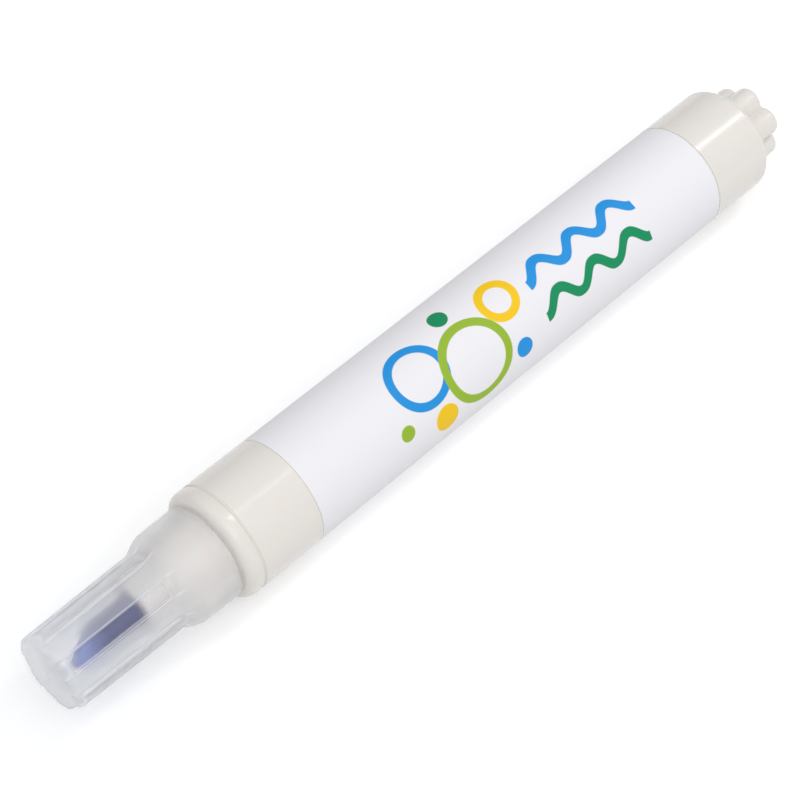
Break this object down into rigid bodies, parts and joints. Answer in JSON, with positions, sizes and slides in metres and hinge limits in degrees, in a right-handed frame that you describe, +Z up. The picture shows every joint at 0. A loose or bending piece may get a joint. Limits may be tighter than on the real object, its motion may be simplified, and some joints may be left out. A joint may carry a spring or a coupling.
{
  "type": "stain remover pen",
  "caption": "Marker-style stain remover pen: a milky ribbed pull-off cap over a felt nib, a sprung press-to-flow valve, a labelled tubular barrel and a lobed end plug.",
  "frame": {"origin": "bottom of the bounding box, under the pen's middle, on the line where the lying barrel rests", "axes": "+Z up, +X along the pen's axis toward the lobed end plug, so the cap points toward -X"},
  "size_m": [0.141, 0.017, 0.017],
  "materials": {
    "milky_plastic": "see-through milky polypropylene, satin",
    "ivory_plastic": "satin moulded polypropylene",
    "label_film": "matt white film",
    "felt": "pressed fibre",
    "tan_rubber": "soft",
    "valve_plastic": "moulded polypropylene",
    "spring_steel": "drawn wire"
  },
  "bodies": {
    "pen_body": {"barrel": "ivory_plastic", "label": "label_film", "nose": "ivory_plastic", "collar_gasket": "tan_rubber", "end_plug": "ivory_plastic", "plug_seal": "tan_rubber", "valve_cup": "valve_plastic", "valve_washer": "tan_rubber", "valve_spring": "spring_steel", "valve_cage": "valve_plastic"},
    "plunger": {"nib": "felt", "valve_stem": "valve_plastic"},
    "cap": {"cap": "milky_plastic"}
  },
  "joints": [
    {"name": "cap_pull", "type": "slide", "parent": "pen_body", "child": "cap", "axis": [-1, 0, 0], "range_m": [0, 0.035]},
    {"name": "nib_press", "type": "slide", "parent": "pen_body", "child": "plunger", "axis": [1, 0, 0], "range_m": [0, 0.0015], "stiffness_N_per_m": 400, "springref_m": -0.003, "deforming": ["valve_spring"]}
  ]
}
